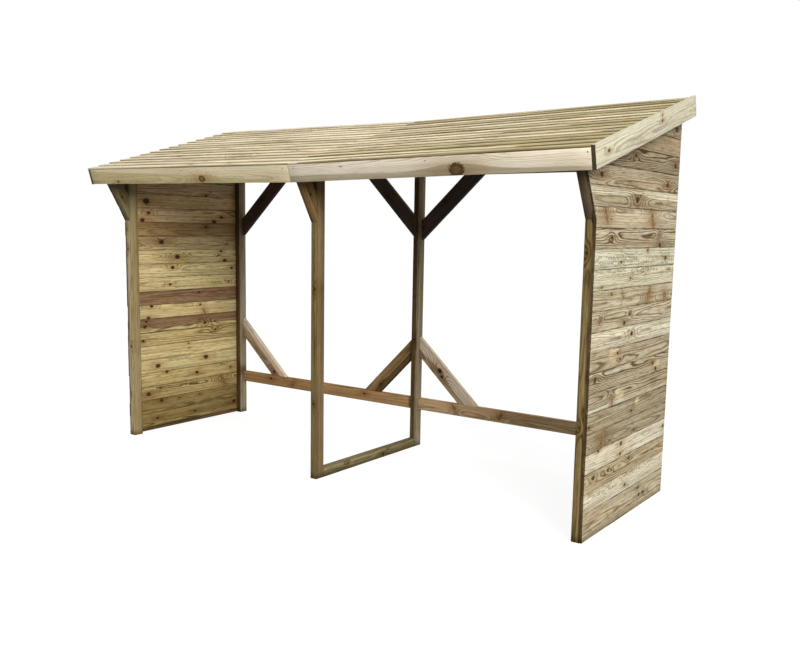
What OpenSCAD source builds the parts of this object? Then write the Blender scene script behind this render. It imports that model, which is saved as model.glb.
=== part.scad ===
// Open two-bay log store: three timber frames, boarded ends and a boarded lean-to roof.
// Millimetres, +Z up, +X to the right along the front, +Y to the back.
// The origin is on the ground, in the middle of the whole outline.

/* [Overall] */
// Length over the cladding of the two ends
length = 3350; // [2400:10:4200]
// Depth over the front and back posts
depth = 1065; // [800:5:1400]
// Height of the roof boards' underside over the front faces of the front posts
front_height = 1853; // [1750:1:2200]
// Slope of the roof in degrees, falling to the front
pitch = 15.8; // [8:0.1:22]
// How far the centre frame stands to the right of the middle
centre_shift = 14; // [-60:1:60]
// How far the roof has settled over the centre frame
roof_dip = 20; // [0:1:25]

/* [Frames] */
// Width of posts, rafters and knee braces along the front
post_w = 44; // [36:1:60]
// Depth of a post from front to back
post_d = 66; // [50:1:100]
// Height of a rafter, square to the slope
rafter_h = 66; // [50:1:85]
// Height of the rail on the ground between the centre posts
foot_rail_h = 56; // [40:1:90]
// Width of a knee brace, square to its length
knee_w = 78; // [50:1:100]
// Drop from the roof boards to where the lower edge of a knee brace leaves the post
knee_drop = 383; // [300:1:500]
// How much higher the right knee brace sits than the others
right_knee_lift = 28; // [0:1:40]
// Steepness of a knee brace in degrees
knee_angle = 60; // [52:1:70]

/* [Back rails and braces] */
// Thickness of the back rails and braces, flush with the back of the posts
back_t = 34; // [20:1:48]
// Height of a back rail
rail_h = 78; // [50:1:110]
// Height of the lower rail's underside
lower_rail_z = 247; // [120:1:400]
// Drop from the top of the end frames' back posts to the upper rail
upper_rail_drop = 226; // [60:1:320]
// Width of a back brace, square to its length
brace_w = 92; // [50:1:120]
// Distance from a rail to the far end of a brace along the post
brace_rise = 409; // [300:1:500]
// Distance from the post to the far end of a brace along its rail
brace_reach = 446; // [300:1:500]
// The same for the two braces on the left of the centre post
centre_left_reach = 412; // [300:1:500]

/* [Boards] */
// Thickness of the tongued boards on the ends
board_t = 10; // [8:1:16]
// Width that one board covers
board_cover = 94; // [70:1:130]
// Height of the ripped board at the foot of an end wall
first_board = 38; // [20:1:90]
// Width of the vee groove along each board joint
groove_w = 4; // [2:0.5:6]
// Depth of the vee groove
groove_d = 2; // [1:0.5:3]

/* [Roof boards] */
// Thickness of a feather-edged roof board along its lower edge
roof_board_t = 7.5; // [6:0.5:12]
// Thickness of a roof board along its upper edge
roof_board_thin = 2.6; // [2:0.1:5]
// Width of a roof board that is left to the weather, before the rows are spaced evenly
roof_show = 87; // [60:1:120]
// Width that each roof board laps over the one below it
roof_lap = 17; // [10:1:40]

/* [Roof edges] */
// Reach of the eaves in front of the posts, along the slope
eaves_reach = 229; // [215:1:320]
// Distance that the roof stops short of the back of the posts
roof_tail = 32; // [20:1:60]
// Height of the fascia, square to the slope
fascia_h = 94; // [88:1:130]
// Thickness of the fascia
fascia_t = 20; // [14:1:28]
// Height of the right barge board, square to the slope
barge_h = 106; // [98:1:140]
// Thickness of a barge board
barge_t = 20; // [14:1:28]
// Distance from the cladding to the outer face of a barge board
side_reach = 75; // [40:1:120]
// Open joint between the two halves of the roof and of the fascia
joint_gap = 1; // [0.5:0.5:3]

/* [Hidden] */

// A length beyond every piece, for cutting shapes
beyond = 6000;
// Outer and inner faces of the end posts, and the middle of an end frame
end_post_out = length / 2 - board_t;
end_post_in = end_post_out - post_w;
end_frame = end_post_out - post_w / 2;
// Outer and inner faces of the barge boards
barge_out = length / 2 + side_reach;
barge_in = barge_out - barge_t;
// Places along the slope, counted from the front faces of the front posts
eaves = -eaves_reach;
fascia_back = eaves + fascia_t;
ridge = (depth - roof_tail) / cos(pitch);
// Top edge of the right barge board, above the underside of the roof boards
barge_top = barge_h - fascia_h;
// Rows of roof boards, evenly spaced from the eaves up
roof_width = ridge - eaves;
roof_rows = max(1, round(roof_width / roof_show));
row_show = roof_width / roof_rows;
row_wide = row_show + roof_lap;
// A row's lower edge is held up by the row below: its underside and top over the rafters
lap_share = roof_lap / row_wide;
lap_lift = (roof_board_thin + (roof_board_t - roof_board_thin) * lap_share) / (1 - lap_share);
roof_top = lap_lift + roof_board_t;
// Middle of the outline from front to back
roof_front = eaves * cos(pitch) - max(barge_top, roof_top) * sin(pitch);
origin_y = (roof_front + depth) / 2;
// Front faces of the back rails and braces, and the underside of the upper rails
back_face = depth - back_t;
back_post_top = front_height + depth * tan(pitch) - rafter_h / cos(pitch);
upper_rail_z = back_post_top - upper_rail_drop - rail_h;
lower_rail_top = lower_rail_z + rail_h;

// How far the roof boards lie below the end frames' level at a place along the front
function settle(x) =
    let (middle = centre_shift, edge = x < middle ? -end_post_in : end_post_in)
    -roof_dip * (x - edge) / (middle - edge);

// Joints between boards over a width, from the first joint upwards
function board_joints(first, width) = [for (j = [first : board_cover : width - groove_w]) j];

// Section of a run of boards: width along the second axis, a vee on both faces at each joint
function board_section(width, joints) =
    concat([[0, 0], [board_t, 0]],
           [for (j = joints) each [[board_t, j - groove_w / 2],
                                   [board_t - groove_d, j],
                                   [board_t, j + groove_w / 2]]],
           [[board_t, width], [0, width]],
           [for (i = [len(joints) - 1 : -1 : 0]) each [[0, joints[i] + groove_w / 2],
                                                       [groove_d, joints[i]],
                                                       [0, joints[i] - groove_w / 2]]]);

// Section of the lapped rows: height over the rafters, turned down, and distance from the eaves.
// Each row leans on the thin upper edge of the one below, so both faces step
function lapped_section() =
    concat([for (k = [0 : roof_rows - 1]) each
               let (low = k * row_show, from = k == 0 ? 0 : roof_lap, to = k == roof_rows - 1 ? row_show : row_wide)
               [[-lap_lift * (1 - from / row_wide), low + from], [-lap_lift * (1 - to / row_wide), low + to]]],
           [for (k = [roof_rows - 1 : -1 : 0]) each
               [[-lap_lift, (k + 1) * row_show], [-roof_top, k * row_show]]]);

// Moves from the ground under the front faces of the front posts to the origin
module placed() {
    translate([0, -origin_y, 0]) children();
}

// Coordinates along the front, up the slope and square to it, from the boards' underside
module on_slope() {
    translate([0, 0, front_height]) rotate([pitch, 0, 0]) children();
}

// An outline of depth and height, with its thickness along the front
module along_front(x, thickness) {
    translate([x, 0, 0]) rotate([90, 0, 90]) linear_extrude(thickness) children();
}

// An outline of length and height, with its thickness to the back
module to_back(y, thickness) {
    translate([0, y + thickness, 0]) rotate([90, 0, 0]) linear_extrude(thickness) children();
}

// Everything lower than a level square to the slope
module under_slope(level) {
    on_slope() translate([-beyond / 2, -beyond / 2, level - beyond])
        cube([beyond, beyond, beyond]);
}

// The space that the fascia takes up, and all in front of it and over it
module eaves_space() {
    on_slope() translate([-beyond / 2, fascia_back - beyond, -fascia_h])
        cube([beyond, beyond, beyond]);
}

// How far a frame's rafter lies below the end frames' rafters
function frame_settle(x) = x == centre_shift ? -roof_dip : 0;

// Height where the lower edge of a frame's knee brace leaves its post
function knee_foot(x) = front_height - knee_drop + (x > centre_shift ? right_knee_lift : 0);

// Posts stand on the ground and are cut to the slope under their rafter
module post(x, y) {
    color("#a08a5c") placed() intersection() {
        translate([x - post_w / 2, y, 0]) cube([post_w, post_d, beyond / 2]);
        under_slope(frame_settle(x) - rafter_h);
    }
}

module rafter(x) {
    color("#8d7850") placed() on_slope()
        translate([x - post_w / 2, fascia_back, frame_settle(x) - rafter_h])
            cube([post_w, ridge - fascia_back, rafter_h]);
}

// Knee braces lean forward from the front post and are cut under the rafter
module knee_brace(x) {
    run = beyond * cos(knee_angle);
    rise = beyond * sin(knee_angle);
    foot = knee_foot(x);
    head = foot + knee_w / cos(knee_angle);
    color("#8f7c50") placed() difference() {
        intersection() {
            along_front(x - post_w / 2, post_w)
                polygon([[0, foot], [0, head], [-run, head + rise], [-run, foot + rise]]);
            under_slope(frame_settle(x) - rafter_h);
        }
        eaves_space();
    }
}

// The rail on the ground that ties the two centre posts
module centre_foot_rail() {
    color("#9a8763") placed()
        translate([centre_shift - post_w / 2, post_d, 0])
            cube([post_w, depth - 2 * post_d, foot_rail_h]);
}

// A bay is -1 for the left one and 1 for the right one
function bay_left(bay) = bay < 0 ? -end_post_in : centre_shift + post_w / 2;
function bay_right(bay) = bay < 0 ? centre_shift - post_w / 2 : end_post_in;

module back_rail(bay, z) {
    color("#a5713f") placed()
        translate([bay_left(bay), back_face, z])
            cube([bay_right(bay) - bay_left(bay), back_t, rail_h]);
}

// A brace runs from a post to a rail: side is 1 from a left post and -1 from a right one,
// and up is 1 over the lower rail and -1 under the upper rail
module back_brace(post_x, rail_z, side, up, reach = brace_reach) {
    // Share of the outer edge's rise and reach that is left to the inner edge
    inner = 1 - brace_w * sqrt(1 / (reach * reach) + 1 / (brace_rise * brace_rise));
    color("#8a6a42") placed() to_back(back_face, back_t)
        polygon([[post_x, rail_z + up * brace_rise * inner],
                 [post_x + side * reach * inner, rail_z],
                 [post_x + side * reach, rail_z],
                 [post_x, rail_z + up * brace_rise]]);
}

// Tongued boards on the outside of an end frame: the front edge follows the post, then the
// knee brace, and the top follows the roof
module cladding(side) {
    tall = front_height + (depth + board_cover) * tan(pitch);
    joints = board_joints(first_board, tall);
    x = side < 0 ? -length / 2 : end_post_out;
    foot = knee_foot(side * end_frame);
    color("#b09a6e") placed() difference() {
        intersection() {
            translate([x, beyond / 2, 0]) rotate([90, 0, 0])
                linear_extrude(beyond) polygon(board_section(tall, joints));
            along_front(x - board_t, 3 * board_t)
                polygon([[0, -board_t], [depth, -board_t], [depth, tall],
                         [-(tall - foot) / tan(knee_angle), tall], [0, foot]]);
            under_slope(0);
        }
        eaves_space();
    }
}

// Half of the roof: lapped boards along the front, tilted to the settled centre frame. They run
// out over the left barge board and stop against the right one
module roof_boards(side) {
    edge = side * end_post_in;
    lean = atan(roof_dip / abs(centre_shift - edge));
    from_x = side < 0 ? -barge_out : centre_shift + joint_gap / 2;
    to_x = side < 0 ? centre_shift - joint_gap / 2 : barge_in;
    color("#d8c58f") placed() on_slope() intersection() {
        translate([edge, eaves, 0]) rotate([0, -side * lean, 0])
            translate([-beyond / 2, 0, 0]) rotate([0, 90, 0])
                linear_extrude(beyond) polygon(lapped_section());
        translate([from_x, eaves - roof_board_t, -beyond / 2])
            cube([to_x - from_x, roof_width + 2 * roof_board_t, beyond]);
    }
}

// Half of the fascia, square to the slope under the front edge of the boards
module fascia(side) {
    from_x = side < 0 ? -barge_in : centre_shift + joint_gap / 2;
    to_x = side < 0 ? centre_shift - joint_gap / 2 : barge_in;
    color(side < 0 ? "#c3b27d" : "#cdbd9c") placed() on_slope() to_back(eaves, fascia_t)
        polygon([[from_x, settle(from_x) - fascia_h], [to_x, settle(to_x) - fascia_h],
                 [to_x, settle(to_x)], [from_x, settle(from_x)]]);
}

// Barge boards close the ends of the fascia: the left one lies under the ends of the roof boards,
// the right one stands up to cover them
module barge_board(side) {
    x = side < 0 ? -barge_out : barge_in;
    top = side < 0 ? settle(-barge_in) : barge_top;
    color("#cfc9a6") placed() on_slope()
        translate([x, eaves, -fascia_h]) cube([barge_t, roof_width, fascia_h + top]);
}

post(-end_frame, 0);  // left_front_post
post(-end_frame, depth - post_d);  // left_back_post
post(centre_shift, 0);  // centre_front_post
post(centre_shift, depth - post_d);  // centre_back_post
post(end_frame, 0);  // right_front_post
post(end_frame, depth - post_d);  // right_back_post
centre_foot_rail();
rafter(-end_frame);  // left_rafter
rafter(centre_shift);  // centre_rafter
rafter(end_frame);  // right_rafter
knee_brace(-end_frame);  // left_knee_brace
knee_brace(centre_shift);  // centre_knee_brace
knee_brace(end_frame);  // right_knee_brace
back_rail(-1, lower_rail_z);  // left_lower_rail
back_rail(1, lower_rail_z);  // right_lower_rail
back_rail(-1, upper_rail_z);  // left_upper_rail
back_rail(1, upper_rail_z);  // right_upper_rail
back_brace(bay_left(-1), lower_rail_top, 1, 1);  // left_bay_lower_left_brace
back_brace(bay_right(-1), lower_rail_top, -1, 1, centre_left_reach);  // left_bay_lower_right_brace
back_brace(bay_left(1), lower_rail_top, 1, 1);  // right_bay_lower_left_brace
back_brace(bay_right(1), lower_rail_top, -1, 1);  // right_bay_lower_right_brace
back_brace(bay_left(-1), upper_rail_z, 1, -1);  // left_bay_upper_left_brace
back_brace(bay_right(-1), upper_rail_z, -1, -1, centre_left_reach);  // left_bay_upper_right_brace
back_brace(bay_left(1), upper_rail_z, 1, -1);  // right_bay_upper_left_brace
back_brace(bay_right(1), upper_rail_z, -1, -1);  // right_bay_upper_right_brace
cladding(-1);  // left_cladding
cladding(1);  // right_cladding
roof_boards(-1);  // left_roof_boards
roof_boards(1);  // right_roof_boards
fascia(-1);  // left_fascia
fascia(1);  // right_fascia
barge_board(-1);  // left_barge_board
barge_board(1);  // right_barge_board
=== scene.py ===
"""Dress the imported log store: an open softwood frame with boarded ends and a boarded lean-to roof.

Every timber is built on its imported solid, with its arrises eased and its own run of grain, growth
rings and knots. The boarded ends and the two roof halves are made board by board.
"""

import logging
import math
import random
from dataclasses import dataclass, field, replace
from enum import Enum
from typing import Callable, Iterable

import bmesh
import bpy
from mathutils import Matrix, Vector, noise


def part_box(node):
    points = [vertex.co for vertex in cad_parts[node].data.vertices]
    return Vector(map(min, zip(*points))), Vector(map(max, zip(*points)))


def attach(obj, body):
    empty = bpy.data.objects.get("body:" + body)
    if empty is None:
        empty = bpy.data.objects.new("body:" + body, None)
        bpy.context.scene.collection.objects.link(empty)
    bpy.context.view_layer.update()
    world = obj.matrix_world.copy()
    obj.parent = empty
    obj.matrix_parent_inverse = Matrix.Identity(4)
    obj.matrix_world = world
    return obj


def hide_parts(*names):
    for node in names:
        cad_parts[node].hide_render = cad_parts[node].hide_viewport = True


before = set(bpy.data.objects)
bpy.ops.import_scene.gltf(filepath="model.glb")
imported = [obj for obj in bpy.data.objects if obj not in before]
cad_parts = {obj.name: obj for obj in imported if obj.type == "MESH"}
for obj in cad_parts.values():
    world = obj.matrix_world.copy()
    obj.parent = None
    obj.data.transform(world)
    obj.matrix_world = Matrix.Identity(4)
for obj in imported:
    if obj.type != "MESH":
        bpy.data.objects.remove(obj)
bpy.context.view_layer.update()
BODY = "root"
IMAGE_WIDTH = 800
IMAGE_HEIGHT = 662
MOST_KNOTS = 5
FAR_AWAY = 50.0
NO_KNOT = (FAR_AWAY, 0.0, 0.001)
ALONG_STORE = Vector((1.0, 0.0, 0.0))
TO_BACK = Vector((0.0, 1.0, 0.0))
UPWARD = Vector((0.0, 0.0, 1.0))
ORIGIN = Vector((0.0, 0.0, 0.0))
LOG = logging.getLogger("log_store")

Colour = tuple[float, float, float, float]
Knot = tuple[float, float, float]
Outline = list[tuple[float, float]]
Pieces = list[bpy.types.Object]
Shape = bmesh.types.BMesh
Socket = bpy.types.NodeSocket
Value = Socket | float | tuple


class Tone(Enum):
    """Softwood tones, each written as a display colour."""

    PALE_CREAM = "efe6d2"
    CREAM = "dad5bf"
    GREEN_CREAM = "d3d1ba"
    PALE_STRAW = "e6d9b8"
    STRAW = "d8c899"
    YELLOW = "e3d29d"
    YELLOW_OLIVE = "ccba84"
    TAN = "c6bba1"
    PINK_TAN = "c0b59c"
    ORANGE_TAN = "c0b190"
    YELLOW_BROWN = "ad8f62"
    BROWN = "aea288"
    DARK_BROWN = "8f795a"
    GREY_BROWN = "b6a98f"
    RED_BROWN = "a8977c"
    DARK_RED = "9d7f60"
    GREY_CREAM = "c8c5b0"
    BRIGHT_STRAW = "fbf1d6"
    WARM_TAN = "dcbf95"
    AMBER = "f2d3a2"
    LION = "c6af82"
    RUST = "bb9668"
    RUSSET = "9a7f58"
    CLAY = "dcbc92"
    PINK_CREAM = "f0dfca"
    PINK_BROWN = "c6ac8e"
    SLATE_BROWN = "7c6c55"
    COAL_BROWN = "66564e"
    MOSS = "918866"
    GREY_UMBER = "9f927a"
    OLIVE_BROWN = "a08b5a"
    OLIVE_STRAW = "d2c7a2"
    OLIVE_GREY = "bfb48e"
    OLIVE = "b3a276"
    DEEP_OLIVE = "8a7950"
    DARK_UMBER = "6b563a"

    def linear(self) -> Colour:
        """The tone in scene-linear light."""
        return display_to_linear(self.value)


class Side(Enum):
    """The two ends of the store, and which way each one faces."""

    LEFT = -1
    RIGHT = 1

    def node(self, part: str) -> str:
        """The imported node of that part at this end."""
        return f"{self.name.lower()}_{part}"


def display_to_linear(code: str) -> Colour:
    """Turn a six-digit display colour into scene-linear light, by the usual display curve.

    Args:
        code: Two hexadecimal digits each of red, green and blue.

    Returns:
        Red, green, blue and a full alpha.
    """
    channels = []
    for first in (0, 2, 4):
        level = int(code[first:first + 2], 16) / 255.0
        if level <= 0.04045:
            channels.append(level / 12.92)
        else:
            channels.append(((level + 0.055) / 1.055) ** 2.4)
    return (channels[0], channels[1], channels[2], 1.0)


@dataclass(frozen=True)
class Look:
    """How one length of timber looks.

    A knot is its place along and across the timber and its radius, in metres; a radius below nothing
    makes a spike knot, cut along its length. A second tone lies on one side of a line, which starts at
    heart_edge across the timber and climbs by heart_climb a metre. It is the heartwood on most timbers, and
    painted light and shade on the faces of the posts, at the right end of the right lower back rail and
    towards the right end of the right roof half. Ripple bends the rings to and fro, pale is a patch of
    clear wood beside a knot, and tan_knots is how far the knots are tan.
    """

    tone: Tone
    knots: tuple[Knot, ...] = ()
    figure: float = 1.0
    heart: Tone = Tone.RED_BROWN
    heart_edge: float = -FAR_AWAY
    heart_climb: float = 0.0
    heart_below: bool = True
    ripple: float = 0.0
    pale: Knot = NO_KNOT
    pith_depth: float = 0.060
    tan_knots: float = 0.0


@dataclass(frozen=True)
class Axes:
    """A timber's own directions, from a point where its grain is measured from."""

    start: Vector
    along: Vector
    across: Vector
    through: Vector

    @classmethod
    def square(cls, start: Vector, along: Vector, through: Vector) -> "Axes":
        """Set up three square directions.

        Args:
            start: The point that the grain is measured from.
            along: The way that the grain runs.
            through: Roughly the way through the timber's thickness.

        Returns:
            The axes, with through made square to along.
        """
        run = along.normalized()
        across = through.cross(run).normalized()
        return cls(start, run, across, run.cross(across))

    def local(self, point: Vector) -> Vector:
        """Measure a point along, across and through the timber."""
        step = point - self.start
        return Vector((step.dot(self.along), step.dot(self.across), step.dot(self.through)))

    def world(self, place: Vector) -> Vector:
        """Turn a place along, across and through the timber into a point."""
        return self.start + self.along * place.x + self.across * place.y + self.through * place.z


class Stain(Enum):
    """Colours in scene-linear light that tint or darken the wood, and those of its knots and nails."""

    COOL = (0.97, 1.01, 1.06, 1.0)
    WARM = (1.05, 0.98, 0.93, 1.0)
    CLEAR_WOOD = (0.74, 0.63, 0.42, 1.0)
    BLOTCH = (0.62, 0.57, 0.48, 1.0)
    STREAK = (0.45, 0.385, 0.28, 1.0)
    BAND = (0.42, 0.365, 0.28, 1.0)
    LATE_WOOD = (0.20, 0.15, 0.09, 1.0)
    FIBRE = (0.32, 0.29, 0.24, 1.0)
    KNOT_HALO = (0.50, 0.36, 0.20, 1.0)
    DEAD_KNOT = (0.016, 0.008, 0.002, 1.0)
    DEAD_KNOT_EDGE = (0.150, 0.080, 0.028, 1.0)
    TAN_KNOT = (0.27, 0.150, 0.062, 1.0)
    LIVE_KNOT = (0.120, 0.068, 0.026, 1.0)
    LIVE_KNOT_PATCH = (0.250, 0.155, 0.068, 1.0)
    BARK = (0.012, 0.006, 0.002, 1.0)
    ARRIS = (0.17, 0.12, 0.07, 1.0)
    # Painted shade in the roof boards' laps and under their noses.
    GRIME = (0.12, 0.085, 0.045, 1.0)
    CUT_END = (1.0, 0.86, 0.66, 1.0)
    DAMP = (0.34, 0.28, 0.19, 1.0)
    NAIL_STEEL = (0.115, 0.105, 0.092, 1.0)
    NAIL_RUST = (0.085, 0.046, 0.024, 1.0)

    def times(self, level: float) -> Colour:
        """The same colour at another strength."""
        red, green, blue, alpha = self.value
        return (red * level, green * level, blue * level, alpha)


class Sway(Enum):
    """Noise to both sides of nothing: its scale along and across the grain, its layers and its width."""

    KNOT_EDGE = (95.0, 95.0, 2.0, 0.9)
    CLEAR_EDGE = (34.0, 60.0, 3.0, 1.4)
    RING_WANDER = (1.0, 3.0, 1.0, 0.060)
    RING_CURL = (3.0, 17.0, 2.0, 0.010)
    RING_ZIGZAG = (78.0, 46.0, 1.0, 0.007)
    HEART_EDGE = (3.2, 4.0, 2.0, 1.0)
    ARRIS = (14.0, 40.0, 2.0, 0.0036)


class Patch(Enum):
    """Patches of noise: its scale along and across the grain, its layers, and where they start and fill."""

    RING_FADE = (1.7, 11.0, 1.0, 0.34, 0.62)
    WARMTH = (1.6, 8.0, 1.0, 0.36, 0.66)
    BLOTCH = (2.4, 9.0, 3.0, 0.36, 0.66)
    STREAK = (1.1, 75.0, 2.0, 0.42, 0.70)
    HAIR = (2.6, 170.0, 1.0, 0.48, 0.74)
    DASH = (17.0, 125.0, 2.0, 0.50, 0.66)
    BAND = (0.9, 30.0, 2.0, 0.46, 0.66)
    KNOT = (70.0, 70.0, 2.0, 0.36, 0.64)
    # Patches that make the painted lap shade uneven along the boards.
    GRIME = (2.4, 5.0, 2.0, 0.36, 0.62)
    NAIL_BLOOM = (420.0, 420.0, 3.0, 0.38, 0.66)


class Bench:
    """Sets out shader nodes in one tree and joins them up."""

    def __init__(self, tree: bpy.types.NodeTree) -> None:
        """Clear the tree to work in."""
        self.tree = tree
        tree.nodes.clear()

    def add(self, kind: str, inputs: dict[str | int, Value] | None = None,
            **settings: object) -> bpy.types.Node:
        """Add a node.

        Args:
            kind: The node's type.
            inputs: What goes into its sockets.
            settings: Its options.

        Returns:
            The node.
        """
        node = self.tree.nodes.new(kind)
        for name, value in settings.items():
            setattr(node, name, value)
        for key, value in (inputs or {}).items():
            self.feed(node.inputs[key], value)
        return node

    def feed(self, socket: Socket, value: Value) -> None:
        """Join a socket to another one, or set its value."""
        if isinstance(value, Socket):
            self.tree.links.new(value, socket)
        else:
            socket.default_value = value

    def show(self, shader: bpy.types.Node, output: str = "ShaderNodeOutputMaterial") -> None:
        """Join a shader to the tree's output."""
        self.add(output, {"Surface": shader.outputs[0]})

    def math(self, operation: str, *values: Value, clamp: bool = False) -> Socket:
        """Work out one number from others."""
        node = self.add("ShaderNodeMath", dict(enumerate(values)), operation=operation, use_clamp=clamp)
        return node.outputs[0]

    def total(self, values: tuple[Socket, ...], operation: str) -> Socket:
        """Gather several numbers with one operation."""
        result = values[0]
        for value in values[1:]:
            result = self.math(operation, result, value)
        return result

    def plus(self, *values: Socket) -> Socket:
        """Add several numbers."""
        return self.total(values, "ADD")

    def minus(self, value: Value, less: Value) -> Socket:
        """Take one number from another."""
        return self.math("SUBTRACT", value, less)

    def times(self, value: Value, factor: Value, extra: Value = 0.0) -> Socket:
        """Multiply two numbers, and add a third."""
        return self.math("MULTIPLY_ADD", value, factor, extra)

    def square(self, value: Value) -> Socket:
        """Multiply a number by itself."""
        return self.math("POWER", value, 2.0)

    def length(self, first_square: Socket, second_square: Socket) -> Socket:
        """The length whose square is the sum of two squares."""
        return self.math("SQRT", self.plus(first_square, second_square))

    def vector(self, operation: str, *values: Value) -> Socket:
        """Work out one vector from others."""
        return self.add("ShaderNodeVectorMath", dict(enumerate(values)), operation=operation).outputs[0]

    def split(self, value: Value) -> tuple[Socket, ...]:
        """The three numbers of a vector."""
        return tuple(self.add("ShaderNodeSeparateXYZ", {0: value}).outputs)

    def vectors(self, name: str) -> tuple[Socket, ...]:
        """The three numbers of a vector that is stored in the mesh."""
        return self.split(self.attribute(name, "Vector"))

    def attribute(self, name: str, output: str) -> Socket:
        """A value that is stored in the mesh."""
        return self.add("ShaderNodeAttribute", attribute_name=name).outputs[output]

    def noise(self, place: Value, along: float, across: float, layers: float) -> Socket:
        """Smooth noise about a half, with a scale along and across the grain."""
        spread = self.vector("MULTIPLY", place, (along, across, across))
        return self.add("ShaderNodeTexNoise", {"Vector": spread, "Scale": 1.0, "Detail": layers}).outputs[0]

    def patches(self, place: Value, patch: Patch, start: float = 0.0, stop: float = 1.0) -> Socket:
        """Noise drawn out into patches, from start outside them to stop inside."""
        along, across, layers, low, high = patch.value
        return self.ease(self.noise(place, along, across, layers), low, high, start, stop)

    def ease(self, value: Value, low: float, high: float, start: float = 0.0, stop: float = 1.0) -> Socket:
        """Go smoothly from start to stop as a value goes from low to high."""
        inputs = {"Value": value, "From Min": low, "From Max": high, "To Min": start, "To Max": stop}
        return self.add("ShaderNodeMapRange", inputs, interpolation_type="SMOOTHSTEP").outputs[0]

    def mix(self, share: Value, first: Value, second: Value, blend: str = "MIX") -> Socket:
        """Mix two colours."""
        inputs = {0: share, 6: first, 7: second}
        return self.add("ShaderNodeMix", inputs, data_type="RGBA", blend_type=blend).outputs[2]

    def ramp(self, value: Value, stops: tuple[tuple[float, float], ...]) -> Socket:
        """Turn a number into a level through a few stops."""
        node = self.add("ShaderNodeValToRGB", {0: value})
        band = node.color_ramp
        while len(band.elements) < len(stops):
            band.elements.new(1.0)
        for element, (place, level) in zip(band.elements, stops):
            element.position = place
            element.color = (level, level, level, 1.0)
        return node.outputs[0]


class WoodBench(Bench):
    """A bench for wood, which knows each point's place in its timber and in the timber's own noise."""

    def __init__(self, tree: bpy.types.NodeTree) -> None:
        """Clear the tree, and read the place and the spot of each point."""
        super().__init__(tree)
        self.place = self.attribute("grain", "Vector")
        self.spot = self.vector("ADD", self.place, self.attribute("seed", "Vector"))

    def sway(self, sway: Sway) -> Socket:
        """Noise that swings as far to one side of nothing as to the other."""
        along, across, layers, width = sway.value
        return self.times(self.noise(self.spot, along, across, layers), width, -width / 2.0)

    def stain(self, wood: Value, stain: Stain, share: Value) -> Socket:
        """Darken the wood with a share of a stain."""
        return self.mix(share, wood, stain.value, "MULTIPLY")


@dataclass(frozen=True)
class Finish:
    """A finish that is made into a node material once."""

    name: str

    def material(self) -> bpy.types.Material:
        """Find the finish's material, or make it.

        Returns:
            The material of this finish.
        """
        material = bpy.data.materials.get(self.name)
        if material is None:
            material = bpy.data.materials.new(self.name)
            material.use_nodes = True
            self.lay(material.node_tree)
        return material

    def lay(self, tree: bpy.types.NodeTree) -> None:
        """Set out the finish's nodes."""
        raise NotImplementedError(self.name)


@dataclass(frozen=True)
class KnotField:
    """What the knots do to the wood about them.

    Swell is how far they push the rings out, reach is the distance to the nearest one as a share of its
    radius, core is the knots themselves, halo is the stained wood about them, and slim is whether the
    nearest is a spike knot.
    """

    swell: Socket
    reach: Socket
    core: Socket
    halo: Socket
    slim: Socket


KNOT_LENGTH = 0.72
SPIKE_WIDTH = 0.45
SPIKE_SLANT = 0.45
HALO_LENGTH = 0.22
HALO_FALL = -0.30
KNOT_CORE = (0.72, 1.14, 1.0, 0.0)
KNOT_EDGE = (0.48, 1.05)
KNOT_PATCHES = 0.22
KNOT_STAIN = 0.66
KNOT_COVER = 0.94
BARK_RIM = (0.36, 0.74, 0.0, 0.85)
TAN_START = (0.0, 0.3)
RING_STOPS = ((0.0, 0.40), (0.10, 0.0), (0.54, 0.04), (0.84, 1.0), (1.0, 0.40))
FADED_RINGS = 0.55
SECOND_TONE_BLUR = 0.0022
CLEAR_LENGTH = 0.62
CLEAR_FADE = (0.55, 1.25, 0.72, 0.0)
CLEAR_RINGS = -0.8
FIBRE_NOISE = (7.0, 260.0, 3.0)
ARRIS_CORE = 0.3
# The share of the painted lap shade where it is faintest.
FAINTEST_LAP_SHADE = 0.6
DAMP_RAGGED = 6.0
DAMP_HEIGHT = (0.004, 0.045)
SAW_SLANT = 0.22
SAW_NOISE = (9.0, 9.0, 1.0)
SAW_DRIFT = 0.02
SAW_PITCH = 900.0
RING_RELIEF = 0.35
FIBRE_RELIEF = 0.55
KNOT_RELIEF = 0.30
RELIEF_STRENGTH = 0.8
FIBRE_DULL = 0.20
KNOT_SHINE = -0.16
WOOD_GLOSS = 0.05


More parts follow.
